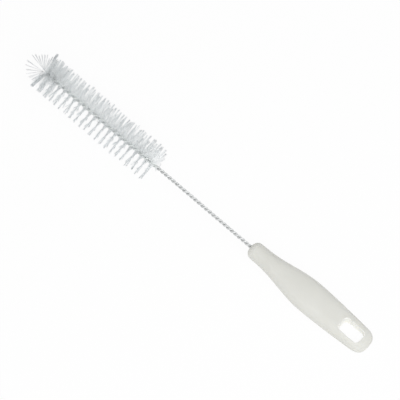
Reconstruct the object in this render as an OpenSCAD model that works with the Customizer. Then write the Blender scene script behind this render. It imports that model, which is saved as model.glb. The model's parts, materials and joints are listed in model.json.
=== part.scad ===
// Bottle brush: nylon filaments clamped in one folded and twisted wire, with a moulded handle.
// It lies as it comes to rest, on the last filaments of its head and on the belly of its handle.
// Millimetres. The tip points to -X, the handle to +X, and the table is at Z = 0.

/* [Bristle head] */
// Diameter over the filament ends
head_d = 30; // [22:1:44]
// Advance of the bristle spiral in one turn
head_pitch = 10.3; // [8:0.1:14]
// Turns of the bristle spiral
head_turns = 10.75; // [4:0.25:16]
// Filaments in one turn
filaments_per_turn = 33; // [21:2:41]
// Width of a filament across the wire
filament_w = 0.34; // [0.26:0.02:0.5]
// Depth that clamped neighbours press into each other
filament_bite = 0.04; // [0.02:0.01:0.08]

/* [Tip fan] */
// Filaments on each side of the fan
fan_count = 7; // [3:1:9]
// Reach of the fan from the nose of the wire
fan_reach = 15; // [8:0.5:20]
// Angle between the axis and the most forward filament
fan_front_angle = 12; // [8:1:30]
// Angle between the axis and the most sideways filament
fan_side_angle = 75; // [45:1:78]
// Angle by which every second filament leaves the plane of the fan
fan_splay_angle = 4; // [2:1:10]
// Spacing of the roots along the first filament of the spiral
fan_root_step = 0.45; // [0.4:0.05:0.8]

/* [Wire] */
// Diameter of the wire
wire_d = 1.4; // [1:0.1:2]
// Bare length between the bristles and the handle
stem_len = 95.5; // [40:0.5:200]
// Advance of the bare twist in one turn
stem_pitch = 7.3; // [6:0.1:12]
// Length over which the strands close up behind the bristles
closing_len = 4; // [2:0.5:8]
// Length of stem held inside the handle
held_len = 35; // [15:1:60]

/* [Handle] */
// Length of the handle
handle_len = 115.5; // [100:0.5:150]
// Diameter of the neck
neck_d = 14.4; // [12:0.1:20]
// Length of the straight neck
neck_len = 11.5; // [6:0.5:20]
// Rounding of the neck's front rim
neck_round = 5; // [1:0.1:5.5]
// Distance from the front to the belly
belly_at = 57; // [45:1:75]
// Width of the belly
belly_w = 25.7; // [20:0.1:34]
// Thickness of the belly
belly_h = 16; // [12:0.5:20]
// Width that the sides taper to at the butt
tail_w = 19.4; // [17:0.1:26]
// Thickness that the faces taper to at the butt
tail_h = 8.5; // [7.5:0.5:14]
// Length of the rounded butt
butt_len = 7.5; // [4:0.5:12]
// Inset of the butt's end in the width
butt_inset_w = 6; // [3:0.5:8]
// Inset of the butt's end in the thickness
butt_inset_h = 3; // [1:0.5:3.5]

/* [Hanging hole] */
// Length of the hole
hole_len = 19.2; // [12:0.2:26]
// Width of the hole
hole_w = 11.2; // [6:0.2:13]
// Corner radius of the hole
hole_round = 4; // [1:0.2:6]
// Material between the hole and the butt
hole_margin = 7; // [5:0.5:15]

/* [Clearances] */
// Gap between a filament and each strand
clamp_gap = 0.05; // [0.04:0.01:0.1]
// Gap between the strands of the bare stem
strand_gap = 0.04; // [0.04:0.01:0.1]
// Gap around the stem in the handle
bore_gap = 0.1; // [0.05:0.01:0.2]

/* [Hidden] */
$fn = 48;
// Distance that a cut runs past the face it opens
overrun = 1;

// Colours of the three materials
plastic_colour = [0.87, 0.87, 0.85];
wire_colour = [0.66, 0.68, 0.70];
nylon_colour = [0.86, 0.89, 0.91];

// Fineness of the curved skins
wire_sides = 8;
rings_per_turn = 8;
bend_steps = 6;
section_sides = 32;
round_steps = 5;
body_steps = 20;

// Section of the handle: a superellipse that starts round and grows flatter faces
round_power = 2;
belly_power = 2.6;
// Steepness of the taper from the belly to the butt
taper_power = 1.5;
// Largest corner of the hole, as a share of its smaller side
corner_limit_share = 0.45;
// Thickness of a fan filament, as a share of a filament's width
fan_filament_share = 0.8;

// Head
head_len = head_turns * head_pitch;
filament_step = head_pitch / filaments_per_turn;
filament_t = filament_step + filament_bite;
last_filament = floor(head_turns * filaments_per_turn);
first_filament_z = head_len - last_filament * filament_step;

// Wire
wire_r = wire_d / 2;
// The straight runs between the wire's rings cut inside its helix, so the rings lie further out
chord_share = cos(180 / rings_per_turn);
clamp_r = (wire_r + filament_w / 2 + clamp_gap) / chord_share;
stem_r = (wire_r + strand_gap / 2) / chord_share;
handle_at = head_len + stem_len;
fold_z = first_filament_z - filament_t / 2 - clamp_gap;
nose_z = fold_z - clamp_r - wire_r;
head_rings = ceil(head_turns * rings_per_turn);
stem_rings = ceil((stem_len + held_len) / stem_pitch * rings_per_turn);
bore_r = stem_r + wire_r + bore_gap;
bore_len = held_len + wire_r + bore_gap;

// Fan
fan_root = wire_r + filament_w + clamp_gap;
fan_t = filament_w * fan_filament_share;

// Share of the way from a to b, eased at both ends
function eased_share(x, a, b) =
    let (t = min(max((x - a) / (b - a), 0), 1))
    t * t * (3 - 2 * t);

function unit(v) = v / norm(v);

// Faces of a skin over rings of points, closed by a cap at each end
function skin_faces(rings, sides) = concat(
    [[for (j = [0 : sides - 1]) j]],
    [for (i = [0 : rings - 2], j = [0 : sides - 1])
        let (a = i * sides + j, b = i * sides + (j + 1) % sides)
        each [[a, a + sides, b + sides], [a, b + sides, b]]],
    [[for (j = [sides - 1 : -1 : 0]) (rings - 1) * sides + j]]
);

module skin(rings) {
    polyhedron(
        points = [for (ring = rings) each ring],
        faces = skin_faces(len(rings), len(rings[0])),
        convexity = 10
    );
}

// Handle: half sizes at a distance z behind its front
function rise_share(z) = eased_share(z, neck_len, belly_at);
function fall_share(z) = pow(max(z - belly_at, 0) / (handle_len - belly_at), taper_power);
function body_size(z, belly, tail) =
    neck_d + (belly - neck_d) * rise_share(z) - (belly - tail) * fall_share(z);

// Rounding at an end: the share of the inset at a share d of the way to the end
function arc_share(d) = 1 - sqrt(max(1 - pow(max(d, 0), 2), 0));
function front_share(z) = arc_share(1 - z / neck_round);
function butt_share(z) = arc_share(1 - (handle_len - z) / butt_len);

function half_w(z) =
    body_size(z, belly_w, tail_w) / 2 - neck_round * front_share(z) - butt_inset_w * butt_share(z);
function half_h(z) =
    body_size(z, belly_h, tail_h) / 2 - neck_round * front_share(z) - butt_inset_h * butt_share(z);

handle_stations = concat(
    [for (i = [0 : round_steps - 1]) neck_round * (1 - cos(90 * i / round_steps))],
    [for (i = [0 : body_steps - 1]) neck_round + (handle_len - butt_len - neck_round) * i / body_steps],
    [for (i = [0 : round_steps]) handle_len - butt_len * (1 - sin(90 * i / round_steps))]
);

// One section of the handle, with a flat of the polygon on each face and side
function signed_pow(a, power) = sign(a) * pow(abs(a), power);
function handle_ring(z) =
    let (
        power = 2 / (round_power + (belly_power - round_power) * rise_share(z)),
        flat_share = pow(cos(180 / section_sides), power)
    )
    [for (k = [0 : section_sides - 1])
        let (a = 360 * (k + 1 / 2) / section_sides)
        [
            half_h(z) / flat_share * signed_pow(cos(a), power),
            half_w(z) / flat_share * signed_pow(sin(a), power),
            z
        ]];

// Left-hand twist: direction of the filaments at z, which is upright at the last filament
function twist(z) = 360 * (head_len - z) / (z < head_len ? head_pitch : stem_pitch);

// Distance of each strand from the axis, wider where it holds filaments
function strand_r(z) =
    clamp_r + (stem_r - clamp_r) * eased_share(z, head_len, head_len + closing_len);

// The two strands lie on either side of the filaments
function strand_out(z, side) = [cos(twist(z) + side), sin(twist(z) + side), 0];
function strand_point(z, side) = strand_r(z) * strand_out(z, side) + [0, 0, z];

// The fold at the tip, turning from one strand to the other
function fold_out(a, side) = cos(a) * strand_out(fold_z, side) - [0, 0, sin(a)];
function fold_point(a, side) = clamp_r * fold_out(a, side) + [0, 0, fold_z];

wire_heights = concat(
    [for (i = [0 : head_rings]) fold_z + (head_len - fold_z) * i / head_rings],
    [for (i = [1 : stem_rings]) head_len + (stem_len + held_len) * i / stem_rings]
);
wire_last = len(wire_heights) - 1;
fold_angles = [for (k = [1 : bend_steps - 1]) 180 * k / bend_steps];

wire_path = concat(
    [for (i = [wire_last : -1 : 0]) strand_point(wire_heights[i], 90)],
    [for (a = fold_angles) fold_point(a, 90)],
    [for (i = [0 : wire_last]) strand_point(wire_heights[i], 270)]
);
wire_out = concat(
    [for (i = [wire_last : -1 : 0]) strand_out(wire_heights[i], 90)],
    [for (a = fold_angles) fold_out(a, 90)],
    [for (i = [0 : wire_last]) strand_out(wire_heights[i], 270)]
);

// One section of the wire, with a flat towards the other strand
function wire_ring(i) =
    let (
        ahead = wire_path[min(i + 1, len(wire_path) - 1)],
        behind = wire_path[max(i - 1, 0)],
        along = unit(ahead - behind),
        across = unit(cross(along, wire_out[i])),
        out = cross(across, along)
    )
    [for (k = [0 : wire_sides - 1])
        let (a = 360 * (k + 1 / 2) / wire_sides)
        wire_path[i] + wire_r * (cos(a) * out + sin(a) * across)];

// Fan: angle and root of its filaments, and their length up to the arc of the fan
function fan_angle(i) = fan_front_angle + (fan_side_angle - fan_front_angle) * i / (fan_count - 1);
function fan_root_x(i) = fan_root + fan_root_step * i;
function fan_length(i) =
    let (
        start = [fan_root_x(i), first_filament_z - nose_z],
        heading = [sin(fan_angle(i)), -cos(fan_angle(i))],
        ahead = start * heading
    )
    sqrt(pow(ahead, 2) - start * start + pow(fan_reach, 2)) - ahead;

// Rest: the table touches the end of the last filament and the underside of the handle
contact_z = head_len + filament_t / 2;
rest_slope = min([for (z = handle_stations) (head_d / 2 - half_h(z)) / (handle_at + z - contact_z)]);
rest_tilt = atan(rest_slope);
rest_lift = head_d / 2 * cos(rest_tilt) + contact_z * sin(rest_tilt);

// Ends of the brush along X, which put the origin in the middle
tip_x = min([for (i = [0 : fan_count - 1]) first_filament_z - fan_length(i) * cos(fan_angle(i))])
    * cos(rest_tilt);
butt_x = max([for (z = handle_stations)
    (handle_at + z) * cos(rest_tilt) + half_h(z) * sin(rest_tilt)]);

// Lays the brush down: its own axis is Z from the tip, and its own +X points down
module at_rest() {
    translate([-(tip_x + butt_x) / 2, 0, rest_lift])
        rotate([0, 90 + rest_tilt, 0])
            children();
}

module handle_body() {
    skin([for (z = handle_stations) handle_ring(z)]);
}

module stem_bore() {
    translate([0, 0, -overrun])
        cylinder(r = bore_r, h = bore_len + overrun);
}

// Rounded oblong through both faces, at its place behind the handle's front
module hanging_hole() {
    corner = min(hole_round, corner_limit_share * min(hole_len, hole_w));
    inner_len = hole_len - 2 * corner;
    inner_w = hole_w - 2 * corner;
    depth = belly_h + 2 * overrun;
    translate([0, 0, handle_len - hole_margin - hole_len / 2])
        rotate([0, 90, 0])
            linear_extrude(height = depth, center = true) {
                square([hole_len, inner_w], center = true);
                square([inner_len, hole_w], center = true);
                for (x = [-1, 1], y = [-1, 1])
                    translate([x * inner_len / 2, y * inner_w / 2])
                        circle(r = corner);
            }
}

module handle() {
    color(plastic_colour)
    at_rest()
    translate([0, 0, handle_at])
    difference() {
        handle_body();
        stem_bore();
        hanging_hole();
    }
}

module twisted_wire() {
    color(wire_colour)
    at_rest()
    skin([for (i = [0 : len(wire_path) - 1]) wire_ring(i)]);
}

// Filaments of the spiral, each straight through the axis between the strands
module spiral_filaments() {
    for (i = [0 : last_filament])
        translate([0, 0, head_len - i * filament_step])
            rotate(360 * i / filaments_per_turn)
                cube([head_d, filament_w, filament_t], center = true);
}

// One filament that the fold pushes forward
module fan_filament(i) {
    splay = i % 2 == 0 ? fan_splay_angle : -fan_splay_angle;
    translate([fan_root_x(i), 0, 0])
        rotate([0, 90 - fan_angle(i), splay])
            translate([0, -fan_t / 2, -fan_t / 2])
                cube([fan_length(i), fan_t, fan_t]);
}

module tip_fan() {
    translate([0, 0, first_filament_z])
        for (side = [0, 180])
            rotate(twist(first_filament_z) + side)
                for (i = [0 : fan_count - 1])
                    fan_filament(i);
}

module bristles() {
    color(nylon_colour)
    at_rest() {
        spiral_filaments();
        tip_fan();
    }
}

handle();
twisted_wire();
bristles();
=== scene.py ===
"""Looks of a bottle brush that lies on a white table.

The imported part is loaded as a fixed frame. A moulded handle, a folded and twisted wire and a head of nylon
filaments are modelled along its axis, in metres, and stand for the plainer solids of the frame.
"""

from __future__ import annotations

import json
import logging
import math
from collections.abc import Callable, Iterator
from dataclasses import dataclass
from enum import Enum

import bmesh
import bpy
import numpy as np
from mathutils import Matrix, Vector

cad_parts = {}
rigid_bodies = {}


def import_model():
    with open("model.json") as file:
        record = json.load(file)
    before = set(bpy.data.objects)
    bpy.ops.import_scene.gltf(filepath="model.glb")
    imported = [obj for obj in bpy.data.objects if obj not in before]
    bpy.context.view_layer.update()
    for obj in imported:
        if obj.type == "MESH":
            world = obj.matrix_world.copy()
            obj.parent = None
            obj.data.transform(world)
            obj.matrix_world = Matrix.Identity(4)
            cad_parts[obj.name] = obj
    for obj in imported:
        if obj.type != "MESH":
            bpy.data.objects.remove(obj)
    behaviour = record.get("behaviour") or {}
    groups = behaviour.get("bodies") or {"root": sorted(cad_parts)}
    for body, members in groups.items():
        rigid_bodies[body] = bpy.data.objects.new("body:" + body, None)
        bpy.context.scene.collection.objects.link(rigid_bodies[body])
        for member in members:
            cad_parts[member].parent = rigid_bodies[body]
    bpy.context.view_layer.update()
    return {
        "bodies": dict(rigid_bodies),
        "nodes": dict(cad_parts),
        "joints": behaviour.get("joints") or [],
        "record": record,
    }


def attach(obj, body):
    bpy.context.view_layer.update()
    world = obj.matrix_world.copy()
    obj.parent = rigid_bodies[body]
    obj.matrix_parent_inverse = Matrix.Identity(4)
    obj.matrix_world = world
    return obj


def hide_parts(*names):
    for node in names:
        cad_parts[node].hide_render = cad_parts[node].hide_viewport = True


LOG = logging.getLogger("bottle_brush")
BODY = "root"
HOLE_MOUNT = "hanging_hole"
FULL_TURN = 2.0 * math.pi
AXIS = np.array([0.0, 0.0, 1.0])
TABLE_GAP = 0.00005
MERGE_GAP = 1e-7
NOISE_MIDDLE = (0.3, 0.7)
WHOLE = (0.0, 1.0)
MIX_COLOURS = (6, 7)
MIX_RESULT = 2

Colour = tuple[float, float, float]


class Node(Enum):
    """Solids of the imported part."""

    HANDLE = "handle"
    WIRE = "twisted_wire"
    BRISTLES = "bristles"


class Slot(Enum):
    """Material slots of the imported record."""

    PLASTIC = "handle_plastic"
    ZINC = "galvanised_wire"
    NYLON = "nylon_filament"


class Part(Enum):
    """Parts of a mesh that can be selected."""

    FACE = "FACE"
    EDGE = "EDGE"


class Mark(Enum):
    """Values that a piece carries on its points for its own material."""

    LAID = "laid"
    TONE = "tone"
    ALONG = "along"
    # mask of the painted light on the hole's wall
    THIN = "thin"


def eased(share: float) -> float:
    """Clamps a share to 0..1 and eases it at both ends."""
    clamped = min(max(share, 0.0), 1.0)
    return clamped * clamped * (3.0 - 2.0 * clamped)


def round_off(share: float) -> float:
    """Part of an inset that a quarter round has taken at a share of its way to the end."""
    return 1.0 - math.sqrt(max(1.0 - max(share, 0.0) ** 2, 0.0))


def signed_power(value: float, power: float) -> float:
    """Power of the size of a value, with the value's own sign."""
    return math.copysign(abs(value) ** power, value)


def direction(azimuth_deg: float, elevation_deg: float) -> Vector:
    """Direction in which a lamp or the camera stands, seen from the table.

    Args:
        azimuth_deg: Angle from -Y towards +X.
        elevation_deg: Angle over the table.

    Returns:
        The direction, of length one.
    """
    azimuth, elevation = math.radians(azimuth_deg), math.radians(elevation_deg)
    flat = math.cos(elevation)
    return Vector((math.sin(azimuth) * flat, -math.cos(azimuth) * flat, math.sin(elevation)))


def aim(thing: bpy.types.Object, back: Vector) -> None:
    """Turns a lamp or a camera so that it looks against a direction."""
    thing.rotation_mode = "QUATERNION"
    thing.rotation_quaternion = (-back).to_track_quat("-Z", "Y")


# The bench


class Workpiece:
    """One mesh object on the bench, shaped in edit mode."""

    def __init__(self, name: str) -> None:
        """Takes the primitive that was just added.

        Args:
            name: Name of the piece.
        """
        self.thing: bpy.types.Object = bpy.context.object
        self.thing.name = name
        self.thing.data.name = name

    @staticmethod
    def clear_bench() -> None:
        """Leaves edit mode and deselects everything, the frame's own nodes too."""
        if bpy.context.object and bpy.context.object.mode != "OBJECT":
            bpy.ops.object.mode_set(mode="OBJECT")
        bpy.ops.object.select_all(action="DESELECT")

    @classmethod
    def disc(cls, name: str, sides: int, radius: float, centre: Vector) -> Workpiece:
        """Starts a piece from one filled ring across the brush's axis.

        Args:
            name: Name of the piece.
            sides: Points of the ring.
            radius: Radius of the ring.
            centre: Middle of the ring.

        Returns:
            The piece, in edit mode, with the ring selected.
        """
        cls.clear_bench()
        bpy.ops.mesh.primitive_circle_add(vertices=sides, radius=radius, fill_type="NGON", location=centre)
        bpy.ops.object.transform_apply(location=True, rotation=True, scale=True)
        piece = cls(name)
        bpy.ops.object.mode_set(mode="EDIT")
        bpy.ops.mesh.select_all(action="SELECT")
        return piece

    def extrude(self, move: Vector) -> None:
        """Extrudes what is selected by a move."""
        bpy.ops.mesh.extrude_region_move(TRANSFORM_OT_translate={"value": tuple(move)})

    def shape_selected(self, rule: Callable[[Vector], Vector]) -> None:
        """Moves each selected point to where a rule puts it.

        Args:
            rule: Gives the new place of a point from its present one.
        """
        mesh = bmesh.from_edit_mesh(self.thing.data)
        for point in mesh.verts:
            if point.select:
                point.co = rule(point.co)
        bmesh.update_edit_mesh(self.thing.data)

    def select(self, part: Part, test: Callable[[bmesh.types.BMFace | bmesh.types.BMEdge], bool]) -> None:
        """Selects the faces or edges that pass a test, and nothing else.

        Args:
            part: Faces or edges.
            test: Says whether a face or an edge is wanted.
        """
        bpy.ops.mesh.select_all(action="DESELECT")
        bpy.ops.mesh.select_mode(type=part.value)
        mesh = bmesh.from_edit_mesh(self.thing.data)
        mesh.normal_update()
        for each in mesh.faces if part is Part.FACE else mesh.edges:
            if test(each):
                each.select_set(True)
        bmesh.update_edit_mesh(self.thing.data)

    def close(self) -> None:
        """Merges doubles, points all faces outwards and leaves edit mode."""
        bpy.ops.mesh.select_all(action="SELECT")
        bpy.ops.mesh.remove_doubles(threshold=MERGE_GAP)
        bpy.ops.mesh.normals_make_consistent(inside=False)
        bpy.ops.object.mode_set(mode="OBJECT")

    def subdivide_smooth(self, levels: int) -> None:
        """Adds and applies a subdivision surface.

        Args:
            levels: Levels of subdivision.
        """
        smooth = self.thing.modifiers.new("smooth", "SUBSURF")
        smooth.levels = levels
        smooth.render_levels = levels
        bpy.ops.object.modifier_apply(modifier=smooth.name)


def hand_over(thing: bpy.types.Object, node: Node, material: bpy.types.Material) -> None:
    """Gives a finished piece its material, and its place on the frame.

    Args:
        thing: The finished piece.
        node: Solid that it stands for.
        material: Its material.
    """
    thing.data.materials.clear()
    thing.data.materials.append(material)
    thing.data.shade_smooth()
    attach(thing, BODY)
    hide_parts(node.value)
    faces = thing.data.polygons
    triangles = sum(len(f.vertices) - 2 for f in faces)
    LOG.info("%s: %d faces, %d triangles", thing.name, len(faces), triangles)


# The brush's own line and twist


@dataclass(frozen=True)
class Twist:
    """Left-hand twist of the folded wire, tighter on the bare stem than in the head."""

    head_pitch: float = 0.0103
    head_turns: float = 10.75
    stem_pitch: float = 0.0073
    stem_len: float = 0.0955
    held_len: float = 0.035

    @property
    def head_len(self) -> float:
        """Length of the bristle spiral."""
        return self.head_pitch * self.head_turns

    @property
    def handle_at(self) -> float:
        """Distance from the start of the spiral to the front of the handle."""
        return self.head_len + self.stem_len

    def pitch_at(self, z: float) -> float:
        """Pitch of the twist at a distance from the start of the spiral."""
        return self.head_pitch if z < self.head_len else self.stem_pitch

    def angle(self, z: float) -> float:
        """Turn of the strands at a distance along the axis, in radians.

        Args:
            z: Distance from the start of the spiral.

        Returns:
            Turn from the upright, which is zero at the last filament.
        """
        return FULL_TURN * (self.head_len - z) / self.pitch_at(z)

    def angles(self, places: np.ndarray) -> np.ndarray:
        """Turns at several distances along the axis."""
        return np.array([self.angle(z) for z in places])

    def stretch(self, z: float, radius: float) -> float:
        """Growth of a strand's section where it is cut square to the brush's axis."""
        return math.hypot(1.0, FULL_TURN * radius / self.pitch_at(z))


@dataclass(frozen=True)
class BrushLine:
    """Middle line of the brush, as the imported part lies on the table.

    A point of the brush has x across to the side, y out of the handle's upper face and z along the axis from
    the start of the bristle spiral.
    """

    start: Vector
    side: Vector
    up: Vector
    along: Vector
    handle_len: float

    @classmethod
    def of_frame(cls, frame: dict, twist: Twist) -> BrushLine:
        """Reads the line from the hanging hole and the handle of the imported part.

        Args:
            twist: Twist that gives the distance from the spiral to the handle.

        Returns:
            The brush's line.
        """
        hole = next(m for m in frame["record"]["mounts"] if m["name"] == HOLE_MOUNT)
        up = Vector(hole["axis"]).normalized()
        side = Vector((0.0, 1.0, 0.0))
        along = side.cross(up)
        middle = Vector(hole["pos_m"])
        places = [(v.co - middle).dot(along) for v in frame["nodes"][Node.HANDLE.value].data.vertices]
        front = middle + along * min(places)
        return cls(front - along * twist.handle_at, side, up, along, max(places) - min(places))

    @property
    def matrix(self) -> Matrix:
        """Matrix that takes a point of the brush to its place on the table."""
        turn = Matrix((self.side, self.up, self.along)).transposed().to_4x4()
        return Matrix.Translation(self.start) @ turn

    def lay(self, points: np.ndarray) -> np.ndarray:
        """Places points of the brush on the table, and lifts those that would go under its surface.

        Args:
            points: Points along the brush's axis, as any number by 3.

        Returns:
            The points on the table.
        """
        matrix = np.array(self.matrix)
        placed = points @ matrix[:3, :3].T + matrix[:3, 3]
        placed[..., 2] = np.maximum(placed[..., 2], TABLE_GAP)
        return placed

    def place(self, thing: bpy.types.Object) -> None:
        """Puts a mesh that was modelled along the axis in its place on the table."""
        thing.data.transform(self.matrix)
        thing.data.update()


# Finishes


class NodeSheet:
    """Node tree of a material or of the world, with short calls to add and join its nodes."""

    def __init__(
        self, holder: bpy.types.Material | bpy.types.World, output: str = "ShaderNodeOutputMaterial"
    ) -> None:
        """Starts an empty tree with an output.

        Args:
            holder: Material or world that the tree belongs to.
            output: Blender's name of its output node.
        """
        self.holder = holder
        holder.use_nodes = True
        self.tree = holder.node_tree
        self.tree.nodes.clear()
        self.output = self.node(output)

    def node(self, kind: str, sockets: dict | None = None, **settings: object) -> bpy.types.Node:
        """Adds one node.

        Args:
            kind: Blender's name of the node type.
            sockets: Values of input sockets, by name or index.
            **settings: Properties of the node.

        Returns:
            The new node.
        """
        made = self.tree.nodes.new(kind)
        for name, value in settings.items():
            setattr(made, name, value)
        for name, value in (sockets or {}).items():
            made.inputs[name].default_value = value
        return made

    def join(self, source: bpy.types.Node, out: str | int, target: bpy.types.Node, into: str | int) -> None:
        """Links an output socket to an input socket."""
        self.tree.links.new(source.outputs[out], target.inputs[into])

    def mark(self, mark: Mark) -> bpy.types.Node:
        """Adds a node that reads a mark of the piece."""
        return self.node("ShaderNodeAttribute", attribute_name=mark.value)

    def noise(self, where: bpy.types.Node, out: str, size: float, detail: float = 3.0) -> bpy.types.Node:
        """Adds a noise on the coordinates of a node.

        Args:
            where: Node that gives the coordinates.
            out: Its output.
            size: Size of the noise's features, in the coordinates' unit.
            detail: Octaves of finer noise.

        Returns:
            The noise node.
        """
        made = self.node("ShaderNodeTexNoise", {"Scale": 1.0 / size, "Detail": detail})
        self.join(where, out, made, "Vector")
        return made

    def ranged(
        self,
        source: bpy.types.Node,
        out: str | int,
        to: tuple[float, float] = WHOLE,
        span: tuple[float, float] = NOISE_MIDDLE,
    ) -> bpy.types.Node:
        """Maps a span of a value to a range.

        Args:
            source: Node that gives the value.
            out: Its output.
            to: Range that the span is mapped to.
            span: Span of the value, by default the middle of a noise.

        Returns:
            The range node.
        """
        limits = {"From Min": span[0], "From Max": span[1], "To Min": to[0], "To Max": to[1]}
        made = self.node("ShaderNodeMapRange", limits)
        self.join(source, out, made, "Value")
        return made

    def blend(
        self,
        share: bpy.types.Node,
        out: str | int,
        first: Colour | bpy.types.Node,
        second: Colour | bpy.types.Node,
    ) -> bpy.types.Node:
        """Mixes two colours by a share.

        Args:
            share: Node that gives the share.
            out: Its output.
            first: Colour at 0, or the mix node that gives it.
            second: Colour at 1, or the mix node that gives it.

        Returns:
            The mix node.
        """
        made = self.node("ShaderNodeMix", data_type="RGBA")
        self.join(share, out, made, 0)
        for socket, colour in zip(MIX_COLOURS, (first, second)):
            if isinstance(colour, bpy.types.Node):
                self.join(colour, MIX_RESULT, made, socket)
            else:
                made.inputs[socket].default_value = (*colour, 1.0)
        return made

    def skin(self, colour: bpy.types.Node, rough: bpy.types.Node, sockets: dict) -> bpy.types.Node:
        """Adds the shader of a finish and joins it to the output.

        Args:
            colour: Mix node that gives its colour.
            rough: Range node that gives its roughness.
            sockets: Values of its other sockets.

        Returns:
            The shader.
        """
        made = self.node("ShaderNodeBsdfPrincipled", sockets)
        self.join(colour, MIX_RESULT, made, "Base Color")
        self.join(rough, "Result", made, "Roughness")
        self.join(made, 0, self.output, "Surface")
        return made

    def bump(self, height: bpy.types.Node, depth: float, strength: float, skin: bpy.types.Node) -> None:
        """Gives a shader the relief of a noise.

        Args:
            height: Noise node.
            depth: Depth of the relief, in metres.
            strength: Share of it that shows.
            skin: The shader.
        """
        made = self.node("ShaderNodeBump", {"Distance": depth, "Strength": strength})
        self.join(height, "Fac", made, "Height")
        self.join(made, "Normal", skin, "Normal")

    def seen_directly(self) -> bpy.types.Node:
        """Adds nodes that tell camera, glossy and transmission rays from the others.

        Returns:
            The last node, whose output 0 is 1 for those rays.
        """
        path = self.node("ShaderNodeLightPath")
        seen = path
        for ray in ("Is Glossy Ray", "Is Transmission Ray"):
            either = self.node("ShaderNodeMath", operation="MAXIMUM")
            self.join(seen, 0, either, 0)
            self.join(path, ray, either, 1)
            seen = either
        return seen


@dataclass(frozen=True)
class MouldedPlastic:
    """Satin off-white plastic with a fine moulded grain and faint cloudy flow marks.

    It is painted paler on the wall of the hanging hole, as painted light on that wall.
    """

    name: str = "moulded_plastic"
    pale: Colour = (0.735, 0.735, 0.693)
    cloudy: Colour = (0.702, 0.702, 0.656)
    # painted light: paler colour on the wall of the hanging hole
    hole_wall_painted_light: Colour = (0.93, 0.93, 0.89)
    cloud_size: float = 0.022
    grain_size: float = 0.00045
    grain_detail: float = 2.0
    grain_depth: float = 0.00003
    grain_relief: float = 0.35
    satin: tuple[float, float] = (0.40, 0.52)
    glow: float = 0.2
    glow_depth: float = 0.003
    glow_tint: Colour = (1.0, 0.95, 0.85)
    ior: float = 1.49

    def make(self) -> bpy.types.Material:
        """Builds the material on object coordinates and on the mark of the painted light on the hole's wall.

        Returns:
            The material.
        """
        sheet = NodeSheet(bpy.data.materials.new(self.name))
        place = sheet.node("ShaderNodeTexCoord")
        cloud = sheet.noise(place, "Object", self.cloud_size)
        grain = sheet.noise(place, "Object", self.grain_size, self.grain_detail)
        solid = sheet.blend(sheet.ranged(cloud, "Fac"), "Result", self.pale, self.cloudy)
        # painted light on the hole's wall, by its mask
        colour = sheet.blend(sheet.mark(Mark.THIN), "Fac", solid, self.hole_wall_painted_light)
        sockets = {
            "IOR": self.ior,
            "Subsurface Weight": self.glow,
            "Subsurface Radius": self.glow_tint,
            "Subsurface Scale": self.glow_depth,
        }
        skin = sheet.skin(colour, sheet.ranged(grain, "Fac", self.satin), sockets)
        sheet.bump(grain, self.grain_depth, self.grain_relief, skin)
        return sheet.holder


@dataclass(frozen=True)
class GalvanisedSteel:
    """Drawn wire with a dull zinc coat: fine lines along each strand and a patchy spangle.

    It is painted paler in the head than on the bare stem, as painted light against the shade among the
    filaments.
    """

    head_len: float
    name: str = "galvanised_steel"
    # painted light: paler zinc colour in the head, where the filaments shade the wire
    head_painted_light: Colour = (0.83, 0.85, 0.84)
    bright: Colour = (0.655, 0.665, 0.665)
    dull: Colour = (0.54, 0.55, 0.55)
    spangle_size: float = 0.0006
    patch_size: float = 0.0024
    line_width: float = 0.00008
    line_length: float = 0.004
    line_depth: float = 0.00001
    line_relief: float = 0.6
    polish: tuple[float, float] = (0.55, 0.70)
    fade_len: float = 0.002

    def make(self) -> bpy.types.Material:
        """Builds the material on the coordinates that the wire had before it was twisted.

        Returns:
            The material.
        """
        sheet = NodeSheet(bpy.data.materials.new(self.name))
        laid = sheet.mark(Mark.LAID)
        draw = (1.0 / self.line_width, 1.0 / self.line_width, 1.0 / self.line_length)
        drawn = sheet.node("ShaderNodeMapping", {"Scale": draw})
        sheet.join(laid, "Vector", drawn, "Vector")
        lines = sheet.noise(drawn, "Vector", 1.0)
        spangle = sheet.node("ShaderNodeTexVoronoi", {"Scale": 1.0 / self.spangle_size})
        sheet.join(laid, "Vector", spangle, "Vector")
        patches = sheet.noise(laid, "Vector", self.patch_size)
        tone = sheet.node("ShaderNodeMath", operation="MULTIPLY")
        sheet.join(spangle, "Color", tone, 0)
        sheet.join(patches, "Fac", tone, 1)
        spangled = sheet.blend(tone, 0, self.bright, self.dull)
        parts = sheet.node("ShaderNodeSeparateXYZ")
        sheet.join(laid, "Vector", parts, 0)
        # painted light: the head takes the paler colour, the bare stem keeps its spangle
        bare = sheet.ranged(parts, "Z", span=(self.head_len, self.head_len + self.fade_len))
        colour = sheet.blend(bare, "Result", self.head_painted_light, spangled)
        skin = sheet.skin(colour, sheet.ranged(patches, "Fac", self.polish), {"Metallic": 1.0})
        sheet.bump(lines, self.line_depth, self.line_relief, skin)
        return sheet.holder


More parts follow.
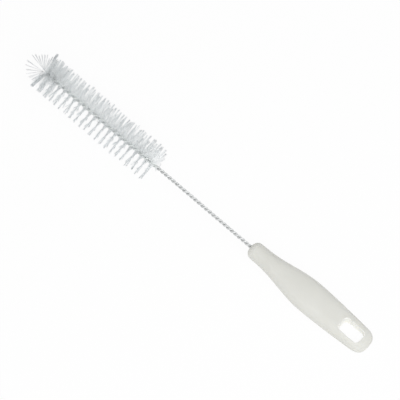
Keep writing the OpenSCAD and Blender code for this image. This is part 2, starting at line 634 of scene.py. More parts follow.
@dataclass(frozen=True)
class NylonFilament:
    """Bluish-white nylon: each filament has its own tone, and is painted paler near the wire, as painted
    light against the shade among the clamped filaments.
    """

    name: str = "nylon_filament"
    # painted light: paler colour near the wire, where the filaments shade each other
    root: Colour = (0.975, 0.994, 0.999)
    milky: Colour = (0.80, 0.83, 0.84)
    smoky: Colour = (0.69, 0.725, 0.74)
    root_share: float = 0.35
    streak_size: float = 0.0009
    shine: tuple[float, float] = (0.28, 0.45)
    ior: float = 1.53

    def make(self) -> bpy.types.Material:
        """Builds the material on the tone and the share of the length that each filament carries.

        Returns:
            The material.
        """
        sheet = NodeSheet(bpy.data.materials.new(self.name))
        body = sheet.blend(sheet.mark(Mark.TONE), "Fac", self.milky, self.smoky)
        free = sheet.ranged(sheet.mark(Mark.ALONG), "Fac", span=(self.root_share, 1.0))
        # painted light near the wire, fading out over the first root_share of each half
        colour = sheet.blend(free, "Result", self.root, body)
        streak = sheet.noise(sheet.node("ShaderNodeTexCoord"), "Object", self.streak_size)
        sheet.skin(colour, sheet.ranged(streak, "Fac", self.shine), {"IOR": self.ior})
        return sheet.holder


# Sub-assemblies


@dataclass(frozen=True)
class Section:
    """One cross-section of the handle: a superellipse, flatter where its power is higher."""

    z: float
    half_w: float
    half_h: float
    power: float = 2.0

    def rise(self, x: float) -> float:
        """Height of the upper face over the middle plane at a distance to the side."""
        share = min(abs(x) / self.half_w, 1.0)
        return self.half_h * (1.0 - share**self.power) ** (1.0 / self.power)

    def point(self, turn: float) -> Vector:
        """Point of the outline.

        Args:
            turn: Turn from the upright.

        Returns:
            The point.
        """
        reach = 2.0 / self.power
        return Vector(
            (
                self.half_w * signed_power(math.sin(turn), reach),
                self.half_h * signed_power(math.cos(turn), reach),
                self.z,
            )
        )


@dataclass
class Handle:
    """Moulded handle with a slim neck, a flat belly, a hanging hole and a bore for the stem.

    The corners of the hole are set tighter than they come out, because the smoothing rounds them further.
    """

    line: BrushLine
    twist: Twist
    neck_d: float = 0.0144
    neck_len: float = 0.0115
    neck_round: float = 0.005
    belly_at: float = 0.057
    belly_w: float = 0.0257
    belly_h: float = 0.016
    neck_power: float = 2.0
    belly_power: float = 2.6
    tail_w: float = 0.0194
    tail_h: float = 0.0085
    taper_power: float = 1.5
    butt_len: float = 0.0075
    butt_inset_w: float = 0.006
    butt_inset_h: float = 0.003
    butt_dome: float = 0.0003
    dome_shares: tuple[float, ...] = (0.6, 0.25)
    hole_len: float = 0.0192
    hole_w: float = 0.0112
    hole_round: float = 0.003
    hole_margin: float = 0.007
    rim_round: float = 0.0006
    rim_steps: int = 3
    # width over which the painted light on the hole's wall fades out
    painted_light_fade: float = 0.0004
    bore_r: float = 0.00158
    bore_lip: float = 0.0002
    sides: int = 24
    neck_steps: int = 4
    body_steps: int = 12
    butt_steps: int = 4
    smooth_levels: int = 2
    face_tilt: float = 0.5

    @property
    def length(self) -> float:
        """Length of the handle, from the frame."""
        return self.line.handle_len

    @property
    def hole_front(self) -> float:
        """Front end of the hole, behind the handle's front."""
        return self.length - self.hole_margin - self.hole_len

    @property
    def hole_rear(self) -> float:
        """Rear end of the hole, behind the handle's front."""
        return self.length - self.hole_margin

    def section(self, z: float) -> Section:
        """Cross-section of the skin.

        Args:
            z: Distance behind the handle's front.

        Returns:
            The section there.
        """
        swell = eased((z - self.neck_len) / (self.belly_at - self.neck_len))
        taper = (max(z - self.belly_at, 0.0) / (self.length - self.belly_at)) ** self.taper_power
        front = self.neck_round * round_off(1.0 - z / self.neck_round)
        butt = round_off(1.0 - (self.length - z) / self.butt_len)
        wide = self.neck_d + (self.belly_w - self.neck_d) * swell - (self.belly_w - self.tail_w) * taper
        high = self.neck_d + (self.belly_h - self.neck_d) * swell - (self.belly_h - self.tail_h) * taper
        return Section(
            z,
            wide / 2.0 - front - self.butt_inset_w * butt,
            high / 2.0 - front - self.butt_inset_h * butt,
            self.neck_power + (self.belly_power - self.neck_power) * swell,
        )

    def bore_sections(self) -> Iterator[Section]:
        """Sections from the bottom of the bore out to the flat of the handle's front.

        Yields:
            Each section.
        """
        flat_r = self.neck_d / 2.0 - self.neck_round
        bottom = self.twist.held_len + self.bore_lip
        for z, radius in (
            (bottom, self.bore_r),
            (bottom / 2.0, self.bore_r),
            (2.0 * self.bore_lip, self.bore_r),
            (self.bore_lip, self.bore_r),
            (0.0, self.bore_r + self.bore_lip),
            (0.0, (self.bore_r + self.bore_lip + flat_r) / 2.0),
        ):
            yield Section(z, radius, radius)

    def skin_sections(self) -> Iterator[Section]:
        """Sections of the skin from the front rim to the butt.

        Yields:
            Each section.
        """
        before_hole = self.hole_front - self.hole_round
        for i in range(self.neck_steps):
            yield self.section(self.neck_round * (1.0 - math.cos(math.pi / 2.0 * i / self.neck_steps)))
        for i in range(self.body_steps + 1):
            yield self.section(self.neck_round + (before_hole - self.neck_round) * i / self.body_steps)
        for z in self.hole_rows():
            yield self.section(z)
        for i in range(1, self.butt_steps + 1):
            share = math.sin(math.pi / 2.0 * i / self.butt_steps)
            yield self.section(self.hole_rear + (self.length - self.hole_rear) * share)
        end = self.section(self.length)
        for share in self.dome_shares:
            z = self.length + self.butt_dome * (1.0 - share)
            yield Section(z, end.half_w * share, end.half_h * share, end.power)

    def hole_rows(self) -> list[float]:
        """Places of the rings beside the hole.

        Returns:
            The hole's ends, the ends of its corners and its middle, from front to rear.
        """
        return [
            self.hole_front,
            self.hole_front + self.hole_round,
            (self.hole_front + self.hole_rear) / 2.0,
            self.hole_rear - self.hole_round,
            self.hole_rear,
        ]

    def beside_hole(self, ring: Section, turn: float) -> Vector:
        """Point of a ring beside the hole, moved to the hole's outline or clear of it.

        Args:
            ring: Section of the ring.
            turn: Turn of the point from the upright.

        Returns:
            The point, still on the handle's skin.
        """
        step = FULL_TURN / self.sides
        from_face = min(abs(math.remainder(turn, FULL_TURN)), abs(math.remainder(turn - math.pi, FULL_TURN)))
        column = round(from_face / step - 0.5)
        half = self.hole_w / 2.0
        columns = (half - self.hole_round, half, (half + ring.half_w) / 2.0)
        if column >= len(columns):
            return ring.point(turn)
        cut = self.hole_round * (1.0 - math.sqrt(0.5))
        x, z = columns[column], ring.z
        if column == 1 and ring.z == self.hole_front:
            x, z = half - cut, ring.z + cut
        if column == 1 and ring.z == self.hole_rear:
            x, z = half - cut, ring.z - cut
        y = self.section(z).rise(x)
        return Vector((math.copysign(x, math.sin(turn)), math.copysign(y, math.cos(turn)), z))

    def on_section(self, rings: list[Section], point: Vector) -> Vector:
        """Presses a point of a straight tube, with rings one unit apart, to its section.

        Args:
            rings: Sections in the order of the tube's rings.
            point: Point of the tube.

        Returns:
            The point on the handle's skin or bore.
        """
        ring = rings[round(point.z)]
        turn = math.atan2(point.x, point.y)
        return self.beside_hole(ring, turn) if ring.z in self.hole_rows() else ring.point(turn)

    def in_hole(self, face: bmesh.types.BMFace) -> bool:
        """Tells the faces over and under the hole from the others.

        Args:
            face: Face of the closed handle.

        Returns:
            Whether it lies inside the hole's outline.
        """
        middle = face.calc_center_median()
        in_length = self.hole_front < middle.z < self.hole_rear
        in_width = abs(middle.x) < self.hole_w / 2.0
        return in_length and in_width and abs(face.normal.y) > self.face_tilt

    def cut_hole(self, piece: Workpiece) -> None:
        """Opens both faces inside the hole's outline, joins them by a wall and rounds the rims.

        Args:
            piece: The closed handle, in edit mode.
        """
        piece.select(Part.FACE, self.in_hole)
        bpy.ops.mesh.delete(type="FACE")
        piece.select(Part.EDGE, lambda edge: edge.is_boundary)
        bpy.ops.mesh.mark_seam(clear=False)
        bpy.ops.mesh.bridge_edge_loops()
        piece.select(Part.EDGE, lambda edge: edge.seam)
        bpy.ops.mesh.mark_seam(clear=True)
        bpy.ops.mesh.bevel(offset=self.rim_round, segments=self.rim_steps, affect="EDGES")

    def from_hole(self, point: Vector) -> float:
        """Distance of a point from the hole's outline, across the handle's broad faces.

        Args:
            point: Point of the handle.

        Returns:
            The distance, below zero inside the outline.
        """
        middle = (self.hole_front + self.hole_rear) / 2.0
        over_x = abs(point.x) - self.hole_w / 2.0 + self.hole_round
        over_z = abs(point.z - middle) - self.hole_len / 2.0 + self.hole_round
        corner = math.hypot(max(over_x, 0.0), max(over_z, 0.0))
        return corner + min(max(over_x, over_z), 0.0) - self.hole_round

    def mark_painted_wall_light(self, mesh: bpy.types.Mesh) -> None:
        """Marks the wall of the hole for its painted light, with a soft edge round its rims.

        Args:
            mesh: Mesh of the handle.
        """
        thin = mesh.attributes.new(Mark.THIN.value, "FLOAT", "POINT")
        for point, mark in zip(mesh.vertices, thin.data):
            mark.value = 1.0 - eased(self.from_hole(point.co) / self.painted_light_fade)

    def build(self) -> bpy.types.Object:
        """Extrudes a tube, presses it to the bore and the skin of the handle, and cuts the hole.

        Returns:
            The handle, in its place on the table.
        """
        rings = [*self.bore_sections(), *self.skin_sections()]
        half_step = Matrix.Rotation(FULL_TURN / self.sides / 2.0, 3, "Z")
        piece = Workpiece.disc("moulded_handle", self.sides, 1.0, Vector())
        piece.shape_selected(lambda point: half_step @ point)
        for _ in rings[1:]:
            piece.extrude(Vector((0.0, 0.0, 1.0)))
        bpy.ops.mesh.select_all(action="SELECT")
        piece.shape_selected(lambda point: self.on_section(rings, point))
        self.cut_hole(piece)
        piece.close()
        piece.subdivide_smooth(self.smooth_levels)
        self.mark_painted_wall_light(piece.thing.data)
        piece.thing.data.transform(Matrix.Translation((0.0, 0.0, self.twist.handle_at)))
        self.line.place(piece.thing)
        return piece.thing

    def dress(self, thing: bpy.types.Object) -> None:
        """Gives the handle its plastic."""
        hand_over(thing, Node.HANDLE, MouldedPlastic().make())


@dataclass
class StemWire:
    """Wire that is folded in half at the tip and twisted over its whole length."""

    line: BrushLine
    twist: Twist
    wire_r: float = 0.0007
    clamp_gap: float = 0.00022
    strand_gap: float = 0.00002
    closing_len: float = 0.004
    fold_z: float = -0.00015
    sides: int = 12
    rings_per_turn: int = 20
    fold_steps: int = 12

    def strand_at(self, z: float) -> float:
        """Distance of a strand's middle from the axis, wider where it clamps filaments."""
        closing = eased((z - self.twist.head_len) / self.closing_len)
        return self.wire_r + self.clamp_gap + (self.strand_gap - self.clamp_gap) * closing

    def heights(self) -> list[float]:
        """Places of the rings along one strand, from the fold to the end inside the handle.

        Returns:
            Distances from the start of the spiral.
        """
        end = self.twist.handle_at + self.twist.held_len
        head_rings = math.ceil(self.twist.head_turns * self.rings_per_turn)
        stem_rings = math.ceil((end - self.twist.head_len) / self.twist.stem_pitch * self.rings_per_turn)
        head = np.linspace(self.fold_z, self.twist.head_len, head_rings, endpoint=False)
        stem = np.linspace(self.twist.head_len, end, stem_rings)
        return [*head.tolist(), *stem.tolist()]

    def fold(self) -> Workpiece:
        """Models the folded wire before it is twisted: one strand, the fold and the other strand.

        Returns:
            The straight wire.
        """
        heights = self.heights()
        end = heights[-1]
        middle = Vector((self.strand_at(end), 0.0, end))
        piece = Workpiece.disc("stem_wire", self.sides, self.wire_r, middle)
        for behind, ahead in zip(reversed(heights[1:]), reversed(heights[:-1])):
            piece.extrude(Vector((self.strand_at(ahead) - self.strand_at(behind), 0.0, ahead - behind)))
        fold_middle = (0.0, 0.0, self.fold_z)
        bpy.ops.mesh.spin(
            steps=self.fold_steps, angle=math.pi, center=fold_middle, axis=(0.0, 1.0, 0.0), dupli=False
        )
        for behind, ahead in zip(heights[:-1], heights[1:]):
            piece.extrude(Vector((self.strand_at(behind) - self.strand_at(ahead), 0.0, ahead - behind)))
        piece.close()
        return piece

    def build(self) -> bpy.types.Object:
        """Twists the folded wire, and keeps where each point was laid for the drawn lines.

        Returns:
            The wire, in its place on the table.
        """
        piece = self.fold()
        mesh = piece.thing.data
        laid = mesh.attributes.new(Mark.LAID.value, "FLOAT_VECTOR", "POINT")
        for point, mark in zip(mesh.vertices, laid.data):
            mark.vector = point.co
            z = max(point.co.z, self.fold_z)
            oval = self.twist.stretch(z, self.strand_at(z)) if point.co.z > self.fold_z else 1.0
            wide = Vector((point.co.x, point.co.y * oval, point.co.z))
            point.co = Matrix.Rotation(self.twist.angle(z), 3, "Z") @ wide
        self.line.place(piece.thing)
        return piece.thing

    def dress(self, thing: bpy.types.Object) -> None:
        """Gives the wire its zinc coat."""
        hand_over(thing, Node.WIRE, GalvanisedSteel(self.twist.head_len).make())


@dataclass(frozen=True)
class FilamentMould:
    """One straight filament of unit half-length and unit radius, modelled once and copied."""

    places: np.ndarray
    faces: np.ndarray

    @classmethod
    def model(cls, shares: tuple[float, ...], sides: int = 4, tip_radius: float = 0.8) -> FilamentMould:
        """Extrudes one filament from end to end.

        Args:
            shares: Places of its rings, as shares of its half-length on either side of the wire.
            sides: Sides of the filament.
            tip_radius: Radius of its cut ends, as a share of its own radius.

        Returns:
            The mould, with x along the filament.
        """
        piece = Workpiece.disc("filament", sides, tip_radius, Vector((0.0, 0.0, shares[0])))
        last = len(shares) - 1
        for i in range(1, last + 1):
            piece.extrude(Vector((0.0, 0.0, shares[i] - shares[i - 1])))
            grow = {1: 1.0 / tip_radius, last: tip_radius}.get(i, 1.0)
            bpy.ops.transform.resize(value=(grow, grow, 1.0), center_override=(0.0, 0.0, shares[i]))
        piece.close()
        mesh = piece.thing.data
        places = np.array([v.co for v in mesh.vertices])[:, (2, 0, 1)]
        faces = np.array([f.vertices[:] for f in mesh.polygons if len(f.vertices) == sides])
        bpy.data.objects.remove(piece.thing)
        return cls(places, faces)

    def thickness(self, radius: float, first: np.ndarray, second: np.ndarray) -> np.ndarray:
        """Offsets of the mould's points from the filament's middle line.

        Args:
            radius: Radius of the filament.
            first: One direction across each copy.
            second: Another direction across it.

        Returns:
            Offsets, as copies by points by 3.
        """
        sides = radius * self.places
        return sides[None, :, 1:2] * first[:, None, :] + sides[None, :, 2:3] * second[:, None, :]

    def copies(self, name: str, points: np.ndarray, tones: np.ndarray) -> bpy.types.Object:
        """Joins bent copies of the filament into one piece.

        Args:
            name: Name of the piece.
            points: Points of every copy, as copies by points by 3.
            tones: Tone of every copy.

        Returns:
            The piece.
        """
        count, each, _ = points.shape
        shift = (np.arange(count) * each)[:, None, None]
        faces = (self.faces[None] + shift).reshape(-1, self.faces.shape[1])
        mesh = bpy.data.meshes.new(name)
        mesh.from_pydata(points.reshape(-1, 3).tolist(), [], faces.tolist())
        along = np.abs(self.places[:, 0])
        for mark, values in ((Mark.TONE, np.repeat(tones, each)), (Mark.ALONG, np.tile(along, count))):
            made = mesh.attributes.new(mark.value, "FLOAT", "POINT")
            made.data.foreach_set("value", values.astype(np.float32))
        thing = bpy.data.objects.new(name, mesh)
        bpy.context.scene.collection.objects.link(thing)
        return thing


def means(values: np.ndarray, tufts: np.ndarray) -> np.ndarray:
    """Mean of each tuft's values, given to every filament of the tuft."""
    return (np.bincount(tufts, values) / np.bincount(tufts))[tufts]


def tufts_of(draw: np.random.Generator, count: int, sizes: tuple[int, int]) -> np.ndarray:
    """Shares filaments in a row out to tufts.

    Args:
        draw: Source of the random sizes.
        count: Number of filaments.
        sizes: Smallest and largest tuft.

    Returns:
        Number of each filament's tuft.
    """
    drawn = draw.integers(sizes[0], sizes[1] + 1, count)
    return np.repeat(np.arange(count), drawn)[:count]


@dataclass(frozen=True)
class FilamentRow:
    """Roots of a row of filaments: their turns and places, and the reach, lean and spread of their ends.

    The drift spreads whole tufts along the axis, and the looseness each filament by itself.
    """

    turns: np.ndarray
    roots: np.ndarray
    radius: tuple[float, float]
    loose: float
    lean: tuple[float | np.ndarray, ...] = (0.0, 0.0)
    drift: float = 0.0


@dataclass
class BristleHead:
    """Nylon filaments clamped across the wire in a double spiral, whose tips gather in small tufts.

    The crowd at its start leans forward less and less, from the lead bundle back, and has filaments painted
    paler, as painted light against the shade in the dense crowd.
    """

    line: BrushLine
    twist: Twist
    radius: float = 0.0158
    filament_r: float = 0.00011
    per_turn: int = 110
    row_depth: float = 0.0003
    clamp_spread: float = 0.00008
    tuft_sizes: tuple[int, int] = (6, 10)
    gather: float = 0.72
    gather_power: float = 2.0
    tuft_drift: float = 0.0010
    tuft_sway_deg: float = 3.0
    loose: float = 0.0005
    tuft_length_spread: float = 0.05
    length_spread: float = 0.02
    crowd: int = 165
    crowd_len: float = 0.0125
    crowd_power: float = 1.3
    crowd_depth: float = 0.0015
    crowd_sway_deg: float = 12.0
    crowd_loose: float = 0.0012
    crowd_lean_len: float = 0.0045
    # painted light: the crowd's filaments take only the paler end of the tones
    crowd_painted_light_tone: float = 0.2
    lead: int = 36
    lead_radius: tuple[float, float] = (0.0163, 0.0174)
    lead_lean: tuple[float, float] = (-0.0012, -0.0034)
    lead_sway_deg: float = 3.0
    lead_at: float = -0.0002
    lead_depth: float = 0.0003
    lead_loose: float = 0.0010
    seed: int = 11
    shares: tuple[float, ...] = (-1.0, -0.75, -0.5, -0.25, 0.0, 0.25, 0.5, 0.75, 1.0)

    def bend(self, draw: np.random.Generator, mould: FilamentMould, row: FilamentRow) -> np.ndarray:
        """Bends a copy of the filament at each root of a row.

        Args:
            draw: Source of the random spread.
            mould: The straight filament.
            row: Where the filaments are rooted, and how far they reach.

        Returns:
            Points of all the copies, as copies by points by 3, along the brush's axis.
        """
        count = len(row.roots)
        share = mould.places[:, 0]
        turn = np.repeat(row.turns[:, None], len(share), axis=1)
        along = np.repeat(row.roots[:, None], len(share), axis=1)
        reach = np.empty_like(turn)
        for side, radius, lean in zip((share < 0.0, share >= 0.0), row.radius, row.lean):
            tufts = tufts_of(draw, count, self.tuft_sizes)
            pull = self.gather * np.abs(share[side]) ** self.gather_power
            sway = draw.normal(0.0, math.radians(self.tuft_sway_deg), count)[tufts]
            drift = row.drift * draw.uniform(-1.0, 1.0, count)[tufts]
            drift = drift + draw.uniform(-row.loose, row.loose, count)
            turn[:, side] += (means(row.turns, tufts) + sway - row.turns)[:, None] * pull
            along[:, side] += (means(row.roots, tufts) - row.roots)[:, None] * pull
            along[:, side] += (lean + drift)[:, None] * np.abs(share[side])
            short = np.abs(draw.normal(0.0, self.tuft_length_spread, count))[tufts]
            short = short + np.abs(draw.normal(0.0, self.length_spread, count))
            length = radius * (1.0 - short)
            reach[:, side] = length[:, None] * share[side]
        across = np.stack([np.cos(row.turns), np.sin(row.turns), np.zeros(count)], axis=1)
        middles = across * draw.normal(0.0, self.clamp_spread, count)[:, None]
        points = np.stack([-np.sin(turn) * reach, np.cos(turn) * reach, along], axis=2)
        return points + middles[:, None, :] + mould.thickness(self.filament_r, across, AXIS[None, :])

    def spiral_row(self, draw: np.random.Generator) -> FilamentRow:
        """Filaments at even steps along the whole spiral.

        Args:
            draw: Source of the random spread.

        Returns:
            The row.
        """
        even = np.linspace(0.0, self.twist.head_len, round(self.per_turn * self.twist.head_turns))
        roots = even + draw.uniform(-self.row_depth, self.row_depth, len(even))
        both = (self.radius, self.radius)
        return FilamentRow(self.twist.angles(even), roots, both, self.loose, drift=self.tuft_drift)

    def crowd_row(self, draw: np.random.Generator) -> FilamentRow:
        """Looser filaments that crowd the start of the spiral, the first of them with the bundle's lean.

        Args:
            draw: Source of the random spread.

        Returns:
            The row.
        """
        places = np.sort(self.crowd_len * draw.uniform(0.0, 1.0, self.crowd) ** self.crowd_power)
        turns = self.twist.angles(places) + draw.normal(0.0, math.radians(self.crowd_sway_deg), self.crowd)
        roots = places + draw.normal(0.0, self.crowd_depth, self.crowd)
        forward = np.clip(1.0 - places / self.crowd_lean_len, 0.0, 1.0)
        lean = tuple(forward * lead for lead in self.lead_lean)
        both = (self.radius, self.radius)
        return FilamentRow(turns, roots, both, self.crowd_loose, lean, self.tuft_drift)

    def lead_row(self, draw: np.random.Generator) -> FilamentRow:
        """Long first bundle, pressed together behind the fold of the wire.

        Args:
            draw: Source of the random spread.

        Returns:
            The row.
        """
        turns = self.twist.angle(0.0) + draw.normal(0.0, math.radians(self.lead_sway_deg), self.lead)
        roots = self.lead_at + draw.uniform(-self.lead_depth, self.lead_depth, self.lead)
        return FilamentRow(turns, roots, self.lead_radius, self.lead_loose, self.lead_lean)

    def build(self) -> bpy.types.Object:
        """Lays the filaments along the spiral, with a crowd of looser ones and a bundle at its start.

        Returns:
            The head, in its place on the table.
        """
        draw = np.random.default_rng(self.seed)
        mould = FilamentMould.model(self.shares)
        rows = (self.spiral_row(draw), self.crowd_row(draw), self.lead_row(draw))
        points = self.line.lay(np.concatenate([self.bend(draw, mould, row) for row in rows]))
        # painted light: the crowd's darkest tone is held down
        darkest = np.repeat((1.0, self.crowd_painted_light_tone, 1.0), [len(row.roots) for row in rows])
        return mould.copies("spiral_bristles", points, darkest * draw.uniform(0.0, 1.0, len(points)))

    def dress(self, thing: bpy.types.Object) -> None:
        """Gives the filaments their nylon."""
        hand_over(thing, Node.BRISTLES, NylonFilament().make())


@dataclass
class TipFan:
    """First filaments of the brush, held in the eye of the wire's fold and pushed forward by it."""

    line: BrushLine
    twist: Twist
    count: int = 42
    filament_r: float = 0.00011
    eye_z: tuple[float, float] = (-0.0003, 0.0004)
    knees: tuple[tuple[float, float], ...] = ((0.0010, -0.0004), (0.0007, -0.0027))
    knee_shares: tuple[float, ...] = (0.06, 0.18)
    front_deg: tuple[float, float] = (6.0, 84.0)
    front_reach: float = 0.0148
    side_reach: float = 0.0118
    reach_spread: float = 0.06
    tuft_sizes: tuple[int, int] = (4, 6)
    gather: float = 0.94
    splay_deg: float = 9.0
    own_spread_deg: float = 0.6
    droop_spread: float = 0.0002
    seed: int = 5
    free_shares: tuple[float, ...] = (0.4, 0.6, 0.8, 1.0)
    tones: tuple[float, float] = (0.2, 1.0)
    # painted shade: a darker copy of the nylon for the lone filaments of the fan
    nylon: NylonFilament = NylonFilament(
        "shaded_lone_filament", (0.85, 0.87, 0.88), (0.78, 0.80, 0.82), (0.62, 0.64, 0.66)
    )

    @property
    def shares(self) -> tuple[float, ...]:
        """Places of a filament's rings: its ends, its knees at the fold and points between."""
        half = (*self.knee_shares, *self.free_shares)
        return (*(-share for share in reversed(half)), 0.0, *half)

    def spread(self, draw: np.random.Generator) -> np.ndarray:
        """Spreads the free ends of the filaments on one side.

        Args:
            draw: Source of the random spread.

        Returns:
            The ends, counted from their outer knees: x to that side, y up, z along.
        """
        tufts = tufts_of(draw, self.count, self.tuft_sizes)
        front = np.linspace(*self.front_deg, self.count)
        reach = np.linspace(self.front_reach, self.side_reach, self.count)
        reach = reach * (1.0 - np.abs(draw.normal(0.0, self.reach_spread, self.count)))
        front = front + self.gather * (means(front, tufts) - front)
        front = np.radians(front + draw.normal(0.0, self.own_spread_deg, self.count))
        splay = draw.normal(0.0, self.splay_deg, self.count)[tufts]
        splay = np.radians(splay + draw.normal(0.0, self.own_spread_deg, self.count))
        heading = [np.sin(front) * np.cos(splay), np.sin(splay), -np.cos(front) * np.cos(splay)]
        return reach[:, None] * np.stack(heading, axis=1)

    def bend(self, draw: np.random.Generator, mould: FilamentMould) -> np.ndarray:
        """Bends each filament at its knees, so that both its ends point forward past the nose.

        Args:
            draw: Source of the random spread.
            mould: The straight filament.

        Returns:
            Points of all the copies, as copies by points by 3, along the brush's axis.
        """
        share = mould.places[:, 0]
        bends = (0.0, *self.knee_shares)
        side_x = np.interp(np.abs(share), bends, (0.0, *(x for x, _ in self.knees)))
        ahead = np.interp(np.abs(share), bends, (0.0, *(z for _, z in self.knees)))
        outer = np.maximum(np.abs(share) - bends[-1], 0.0) / (1.0 - bends[-1])
        points = np.zeros((self.count, len(share), 3))
        points[:, :, 0] = np.sign(share) * side_x
        points[:, :, 2] = np.linspace(*self.eye_z, self.count)[:, None] + ahead
        for side, sign in ((share < 0.0, -1.0), (share >= 0.0, 1.0)):
            ends = self.spread(draw) * (sign, 1.0, 1.0)
            droop = draw.normal(0.0, self.droop_spread, (self.count, 3))
            points[:, side] += outer[side][None, :, None] * ends[:, None, :]
            points[:, side] += (outer[side] ** 2)[None, :, None] * droop[:, None, :]
        upright = np.array([[0.0, 1.0, 0.0]])
        forward = np.array([[1.0, 0.0, 1.0]]) / math.sqrt(2.0)
        return points + mould.thickness(self.filament_r, upright, forward)

    def build(self) -> bpy.types.Object:
        """Bends the filaments of the fan.

        Returns:
            The fan, in its place on the table.
        """
        draw = np.random.default_rng(self.seed)
        mould = FilamentMould.model(self.shares)
        points = self.line.lay(self.bend(draw, mould))
        return mould.copies("tip_bristles", points, draw.uniform(*self.tones, self.count))

    def dress(self, thing: bpy.types.Object) -> None:
        """Gives the filaments a darker copy of the nylon, as painted shade on filaments that stand alone."""
        hand_over(thing, Node.BRISTLES, self.nylon.make())


# Table, light and camera


@dataclass(frozen=True)
class Softbox:
    """One large soft lamp over the table."""

    name: str
    azimuth_deg: float
    elevation_deg: float
    distance: float
    size: float
    power: float

    def hang(self, target: Vector) -> None:
        """Hangs the lamp so that it faces a point of the table.

        Args:
            target: Point that it faces.
        """
        out = direction(self.azimuth_deg, self.elevation_deg)
        Workpiece.clear_bench()
        bpy.ops.object.light_add(type="AREA", location=target + out * self.distance)
        lamp = bpy.context.object
        lamp.name = self.name
        aim(lamp, out)
        lamp.data.size = self.size
        lamp.data.energy = self.power
        lamp.visible_camera = False


@dataclass(frozen=True)
class Studio:
    """White table in an even white room, with a softbox on the near side and a weak one on the far side.

    The table throws no light back. In its place the lower half of the room lights the brush from below.
    """

    table_size: float = 60.0
    table_drop: float = 0.0001
    table_white: Colour = (0.95, 0.95, 0.95)
    whiteness: float = 0.93
    under_light: float = 1.0
    near_sky: float = 0.61
    far_sky: float = 0.45
    lamps: tuple[Softbox, ...] = (
        Softbox("near_softbox", 64.0, 58.0, 1.3, 1.2, 9.5),
        Softbox("far_softbox", 215.0, 60.0, 1.5, 1.4, 1.0),
    )

    def lay_table(self) -> None:
        """Lays the table: white where it is seen, with part of the brush's shadow left on it."""
        Workpiece.clear_bench()
        bpy.ops.mesh.primitive_plane_add(size=self.table_size, location=(0.0, 0.0, -self.table_drop))
        table = bpy.context.object
        table.name = "table"
        sheet = NodeSheet(bpy.data.materials.new("white_table"))
        share = sheet.node("ShaderNodeMath", {1: self.whiteness}, operation="MULTIPLY")
        sheet.join(sheet.seen_directly(), 0, share, 0)
        matte = sheet.node("ShaderNodeBsdfDiffuse", {"Color": (*self.table_white, 1.0)})
        white = sheet.node("ShaderNodeEmission", {"Strength": 1.0})
        mix = sheet.node("ShaderNodeMixShader")
        sheet.join(share, 0, mix, 0)
        sheet.join(matte, 0, mix, 1)
        sheet.join(white, 0, mix, 2)
        sheet.join(mix, 0, sheet.output, "Surface")
        table.data.materials.append(sheet.holder)
        table.visible_diffuse = False
        table.visible_shadow = False

    def light_sky(self) -> None:
        """Lights the room, less on the far side than on the near one, and shows it white."""
        sheet = NodeSheet(bpy.data.worlds.new("white_room"), "ShaderNodeOutputWorld")
        bpy.context.scene.world = sheet.holder
        parts = sheet.node("ShaderNodeSeparateXYZ")
        sheet.join(sheet.node("ShaderNodeTexCoord"), "Generated", parts, 0)
        room = sheet.ranged(parts, "Y", (self.near_sky, self.far_sky), (-1.0, 1.0))
        under = sheet.node("ShaderNodeMath", {1: 0.0}, operation="LESS_THAN")
        sheet.join(parts, "Z", under, 0)
        around = sheet.node("ShaderNodeMix", {"B": self.under_light})
        sheet.join(under, 0, around, "Factor")
        sheet.join(room, "Result", around, "A")
        level = sheet.ranged(sheet.seen_directly(), 0, span=WHOLE)
        sheet.join(around, "Result", level, "To Min")
        sky = sheet.node("ShaderNodeBackground", {"Color": (1.0, 1.0, 1.0, 1.0)})
        sheet.join(level, "Result", sky, "Strength")
        sheet.join(sky, 0, sheet.output, "Surface")

    def build(self, target: Vector) -> None:
        """Sets up the table, the light and the plain view transform.

        Args:
            target: Middle of the brush.
        """
        self.lay_table()
        self.light_sky()
        for lamp in self.lamps:
            lamp.hang(target)
        bpy.context.scene.view_settings.view_transform = "Standard"


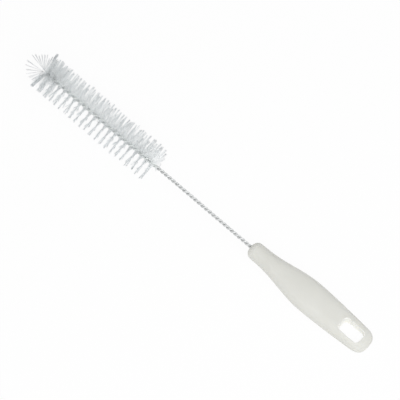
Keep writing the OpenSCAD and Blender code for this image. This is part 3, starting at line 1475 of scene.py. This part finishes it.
@dataclass(frozen=True)
class PhotoCamera:
    """Camera with a long lens at the photograph's viewing angle."""

    azimuth_deg: float = 41.45
    elevation_deg: float = 70.0
    distance: float = 3.0
    image_px: float = 400.0
    tip_px: tuple[float, float] = (46.92, 72.1)
    butt_px: tuple[float, float] = (367.32, 347.5)
    sensor_mm: float = 36.0
    view_depth: float = 30.0
    rounds: int = 4

    def pixel(self, point: Vector, axes: tuple[Vector, Vector, Vector], zoom: float) -> Vector:
        """Place in the picture of a point that is seen from the camera.

        Args:
            point: The point, counted from the camera.
            axes: The camera's right, up and back.
            zoom: Pixels of a length that is seen from as far away as it is long.

        Returns:
            Pixels from the upper left corner.
        """
        right, up, back = axes
        half = self.image_px / 2.0
        deep = -point.dot(back)
        return Vector((half + zoom * point.dot(right) / deep, half - zoom * point.dot(up) / deep))

    def build(self, tip: Vector, butt: Vector) -> bpy.types.Object:
        """Aims the camera so that the ends of the brush fall on their pixels.

        Args:
            tip: Nose of the wire.
            butt: End of the handle.

        Returns:
            The camera.
        """
        azimuth = math.radians(self.azimuth_deg)
        right = Vector((math.cos(azimuth), math.sin(azimuth), 0.0))
        back = direction(self.azimuth_deg, self.elevation_deg)
        up = back.cross(right)
        target = (tip + butt) / 2.0
        zoom = self.image_px
        ends_px = (Vector(self.tip_px), Vector(self.butt_px))
        for _ in range(self.rounds):
            eye = target + back * self.distance
            shown = [self.pixel(end - eye, (right, up, back), zoom) for end in (tip, butt)]
            zoom *= (ends_px[1] - ends_px[0]).length / (shown[1] - shown[0]).length
            shown = [self.pixel(end - eye, (right, up, back), zoom) for end in (tip, butt)]
            off = (shown[0] + shown[1] - ends_px[0] - ends_px[1]) / 2.0
            target = target + (right * off.x - up * off.y) * self.distance / zoom
        bpy.ops.object.camera_add(location=target + back * self.distance)
        camera = bpy.context.object
        camera.name = "photo_camera"
        aim(camera, back)
        camera.data.sensor_width = self.sensor_mm
        camera.data.lens = zoom / self.image_px * self.sensor_mm
        camera.data.clip_end = self.view_depth
        bpy.context.scene.camera = camera
        return camera


def main() -> None:
    """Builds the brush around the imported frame, then the table, the light and the camera."""
    logging.basicConfig(level=logging.INFO, format="%(name)s %(message)s")
    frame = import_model()
    twist = Twist()
    line = BrushLine.of_frame(frame, twist)
    butt = line.start + line.along * (twist.handle_at + line.handle_len)
    PhotoCamera().build(line.start, butt)
    Studio().build((line.start + butt) / 2.0)
    assemblies = (Handle, StemWire, BristleHead, TipFan)
    for assembly in (kind(line, twist) for kind in assemblies):
        assembly.dress(assembly.build())


if __name__ == "__main__":
    main()
